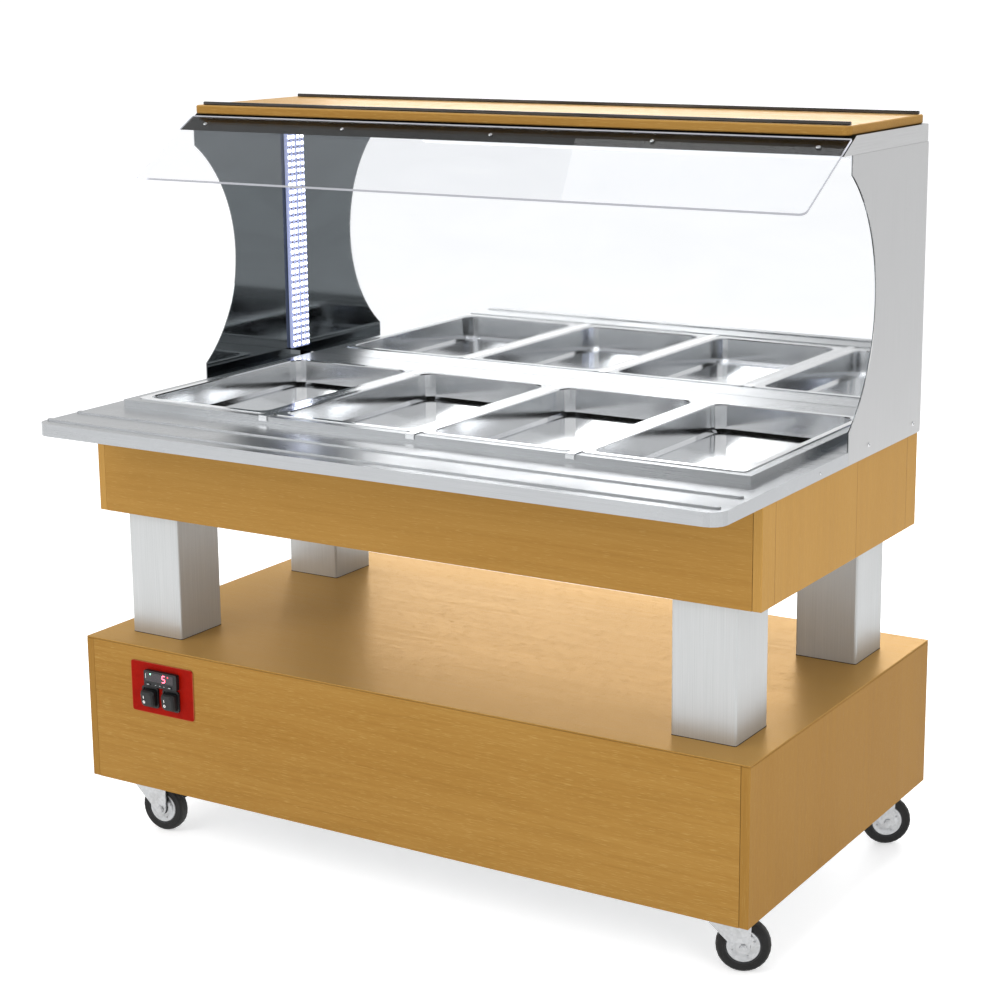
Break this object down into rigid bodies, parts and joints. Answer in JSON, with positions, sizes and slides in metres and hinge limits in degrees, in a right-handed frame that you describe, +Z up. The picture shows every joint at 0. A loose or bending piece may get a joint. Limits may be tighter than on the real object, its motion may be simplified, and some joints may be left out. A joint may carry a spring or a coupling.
{
  "type": "refrigerated buffet trolley",
  "caption": "Wall-type chilled salad bar trolley: oak base on casters, square posts, stainless pan well with tray slide, mirrored back, curved side supports, sloping clear guard and top shelf.",
  "frame": {"origin": "on the ground, under the middle of the overall footprint (countertop front to base back)", "axes": "+X to the right along the serving front, +Y from the serving front to the mirrored back, +Z up"},
  "size_m": [1.5, 0.95, 1.488],
  "materials": {
    "apron_front": "satin lacquered oak grain",
    "apron_left": "satin lacquered oak grain",
    "apron_rear": "satin lacquered oak grain",
    "apron_right": "satin lacquered oak grain",
    "back_panel": "mirror polished sheet steel",
    "base_floor": "zinc plated",
    "base_front": "satin lacquered oak grain",
    "base_rear": "brushed",
    "base_side_left": "satin lacquered oak grain",
    "base_side_right": "satin lacquered oak grain",
    "base_top": "satin lacquered oak grain",
    "canopy": "dark polished sheet steel",
    "caster_front_left_fork": "zinc plated",
    "caster_front_left_pedal": "fine grained black",
    "caster_front_left_plate": "zinc plated",
    "caster_front_left_wheel": "moulded black tread, grey hub",
    "caster_front_right_fork": "zinc plated",
    "caster_front_right_plate": "zinc plated",
    "caster_front_right_wheel": "moulded black tread, grey hub",
    "caster_rear_left_fork": "zinc plated",
    "caster_rear_left_pedal": "fine grained black",
    "caster_rear_left_plate": "zinc plated",
    "caster_rear_left_wheel": "moulded black tread, grey hub",
    "caster_rear_right_fork": "zinc plated",
    "caster_rear_right_plate": "zinc plated",
    "caster_rear_right_wheel": "moulded black tread, grey hub",
    "compressor": "black enamel",
    "condenser": "black enamel",
    "control_plate": "dark red satin",
    "countertop": "brushed",
    "divider_1": "brushed",
    "divider_2": "brushed",
    "divider_3": "brushed",
    "drain_handle": "red dipped lever",
    "drain_valve": "cast and turned",
    "fan_rotor": "grey",
    "led_strip_left": "milky light diffuser",
    "led_strip_right": "milky light diffuser",
    "pan_1": "mirror polished stainless steel",
    "pan_2": "mirror polished stainless steel",
    "pan_3": "mirror polished stainless steel",
    "pan_4": "mirror polished stainless steel",
    "pane": "clear acrylic, bright cut edges",
    "post_front_left": "brushed",
    "post_front_right": "brushed",
    "post_rear_left": "brushed",
    "post_rear_right": "brushed",
    "rocker_left": "soft black boot",
    "rocker_right": "soft black boot",
    "shelf": "satin lacquered oak grain",
    "shelf_rail_front": "dark bronze satin",
    "shelf_rail_rear": "dark bronze satin",
    "support_left": "brushed outside, polished inside",
    "support_right": "brushed outside, polished inside",
    "switch_frame_left": "fine grained black",
    "switch_frame_right": "fine grained black",
    "thermostat": "fine grained black",
    "thermostat_key_left": "fine grained black",
    "thermostat_key_right": "fine grained black",
    "well_tub": "mirror polished stainless steel"
  },
  "bodies": {
    "trolley": {"apron_front": "apron_front", "apron_left": "apron_left", "apron_rear": "apron_rear", "apron_right": "apron_right", "back_panel": "back_panel", "base_floor": "base_floor", "base_front": "base_front", "base_rear": "base_rear", "base_side_left": "base_side_left", "base_side_right": "base_side_right", "base_top": "base_top", "canopy": "canopy", "caster_front_left_plate": "caster_front_left_plate", "caster_front_right_plate": "caster_front_right_plate", "caster_rear_left_plate": "caster_rear_left_plate", "caster_rear_right_plate": "caster_rear_right_plate", "compressor": "compressor", "condenser": "condenser", "control_plate": "control_plate", "countertop": "countertop", "drain_valve": "drain_valve", "led_strip_left": "led_strip_left", "led_strip_right": "led_strip_right", "pane": "pane", "post_front_left": "post_front_left", "post_front_right": "post_front_right", "post_rear_left": "post_rear_left", "post_rear_right": "post_rear_right", "shelf": "shelf", "shelf_rail_front": "shelf_rail_front", "shelf_rail_rear": "shelf_rail_rear", "support_left": "support_left", "support_right": "support_right", "switch_frame_left": "switch_frame_left", "switch_frame_right": "switch_frame_right", "thermostat": "thermostat", "well_tub": "well_tub"},
    "caster_front_left_swivel": {"caster_front_left_fork": "caster_front_left_fork"},
    "caster_front_left_wheel": {"caster_front_left_wheel": "caster_front_left_wheel"},
    "caster_front_left_pedal": {"caster_front_left_pedal": "caster_front_left_pedal"},
    "caster_front_right_swivel": {"caster_front_right_fork": "caster_front_right_fork"},
    "caster_front_right_wheel": {"caster_front_right_wheel": "caster_front_right_wheel"},
    "caster_rear_left_swivel": {"caster_rear_left_fork": "caster_rear_left_fork"},
    "caster_rear_left_wheel": {"caster_rear_left_wheel": "caster_rear_left_wheel"},
    "caster_rear_left_pedal": {"caster_rear_left_pedal": "caster_rear_left_pedal"},
    "caster_rear_right_swivel": {"caster_rear_right_fork": "caster_rear_right_fork"},
    "caster_rear_right_wheel": {"caster_rear_right_wheel": "caster_rear_right_wheel"},
    "pan_1": {"pan_1": "pan_1"},
    "pan_2": {"pan_2": "pan_2"},
    "pan_3": {"pan_3": "pan_3"},
    "pan_4": {"pan_4": "pan_4"},
    "divider_1": {"divider_1": "divider_1"},
    "divider_2": {"divider_2": "divider_2"},
    "divider_3": {"divider_3": "divider_3"},
    "rocker_left": {"rocker_left": "rocker_left"},
    "thermostat_key_left": {"thermostat_key_left": "thermostat_key_left"},
    "rocker_right": {"rocker_right": "rocker_right"},
    "thermostat_key_right": {"thermostat_key_right": "thermostat_key_right"},
    "fan_rotor": {"fan_rotor": "fan_rotor"},
    "drain_handle": {"drain_handle": "drain_handle"}
  },
  "joints": [
    {"name": "caster_front_left_swivel_turn", "type": "hinge", "parent": "trolley", "child": "caster_front_left_swivel", "pos_m": [-0.665, -0.275, 0.119], "axis": [0, 0, 1], "continuous": true},
    {"name": "caster_front_left_wheel_roll", "type": "hinge", "parent": "caster_front_left_swivel", "child": "caster_front_left_wheel", "pos_m": [-0.63013, -0.27195, 0.05], "axis": [-0.0872, 0.9962, 0], "continuous": true},
    {"name": "caster_front_left_brake", "type": "hinge", "parent": "caster_front_left_swivel", "child": "caster_front_left_pedal", "pos_m": [-0.62117, -0.27116, 0.1045], "axis": [-0.0872, 0.9962, 0], "range_deg": [0, 6]},
    {"name": "caster_front_right_swivel_turn", "type": "hinge", "parent": "trolley", "child": "caster_front_right_swivel", "pos_m": [0.665, -0.275, 0.119], "axis": [0, 0, 1], "continuous": true},
    {"name": "caster_front_right_wheel_roll", "type": "hinge", "parent": "caster_front_right_swivel", "child": "caster_front_right_wheel", "pos_m": [0.69672, -0.26021, 0.05], "axis": [-0.4226, 0.9063, 0], "continuous": true},
    {"name": "caster_rear_left_swivel_turn", "type": "hinge", "parent": "trolley", "child": "caster_rear_left_swivel", "pos_m": [-0.665, 0.395, 0.119], "axis": [0, 0, 1], "continuous": true},
    {"name": "caster_rear_left_wheel_roll", "type": "hinge", "parent": "caster_rear_left_swivel", "child": "caster_rear_left_wheel", "pos_m": [-0.63119, 0.40406, 0.05], "axis": [-0.2588, 0.9659, 0], "continuous": true},
    {"name": "caster_rear_left_brake", "type": "hinge", "parent": "caster_rear_left_swivel", "child": "caster_rear_left_pedal", "pos_m": [-0.6225, 0.40639, 0.1045], "axis": [-0.2588, 0.9659, 0], "range_deg": [0, 6]},
    {"name": "caster_rear_right_swivel_turn", "type": "hinge", "parent": "trolley", "child": "caster_rear_right_swivel", "pos_m": [0.665, 0.395, 0.119], "axis": [0, 0, 1], "continuous": true},
    {"name": "caster_rear_right_wheel_roll", "type": "hinge", "parent": "caster_rear_right_swivel", "child": "caster_rear_right_wheel", "pos_m": [0.69367, 0.41508, 0.05], "axis": [-0.5736, 0.8192, 0], "continuous": true},
    {"name": "pan_1_lift", "type": "slide", "parent": "trolley", "child": "pan_1", "axis": [0, 0, 1], "range_m": [0, 0.25]},
    {"name": "pan_2_lift", "type": "slide", "parent": "trolley", "child": "pan_2", "axis": [0, 0, 1], "range_m": [0, 0.25]},
    {"name": "pan_3_lift", "type": "slide", "parent": "trolley", "child": "pan_3", "axis": [0, 0, 1], "range_m": [0, 0.25]},
    {"name": "pan_4_lift", "type": "slide", "parent": "trolley", "child": "pan_4", "axis": [0, 0, 1], "range_m": [0, 0.25]},
    {"name": "divider_1_lift", "type": "slide", "parent": "trolley", "child": "divider_1", "axis": [0, 0, 1], "range_m": [0, 0.2]},
    {"name": "divider_2_lift", "type": "slide", "parent": "trolley", "child": "divider_2", "axis": [0, 0, 1], "range_m": [0, 0.2]},
    {"name": "divider_3_lift", "type": "slide", "parent": "trolley", "child": "divider_3", "axis": [0, 0, 1], "range_m": [0, 0.2]},
    {"name": "switch_left_rock", "type": "hinge", "parent": "trolley", "child": "rocker_left", "pos_m": [-0.581, -0.3571, 0.3235], "axis": [1, 0, 0], "range_deg": [-14, 0]},
    {"name": "thermostat_key_left_press", "type": "slide", "parent": "trolley", "child": "thermostat_key_left", "axis": [0, 1, 0], "range_m": [0, 0.001], "stiffness_N_per_m": 200},
    {"name": "switch_right_rock", "type": "hinge", "parent": "trolley", "child": "rocker_right", "pos_m": [-0.5275, -0.3571, 0.3235], "axis": [1, 0, 0], "range_deg": [-14, 0]},
    {"name": "thermostat_key_right_press", "type": "slide", "parent": "trolley", "child": "thermostat_key_right", "axis": [0, 1, 0], "range_m": [0, 0.001], "stiffness_N_per_m": 200},
    {"name": "fan_spin", "type": "hinge", "parent": "trolley", "child": "fan_rotor", "pos_m": [0.3, 0.35, 0.235], "axis": [0, 1, 0], "continuous": true},
    {"name": "drain_lever_turn", "type": "hinge", "parent": "trolley", "child": "drain_handle", "pos_m": [0.45, 0.154, 0.661], "axis": [0, 1, 0], "range_deg": [0, 90]}
  ]
}
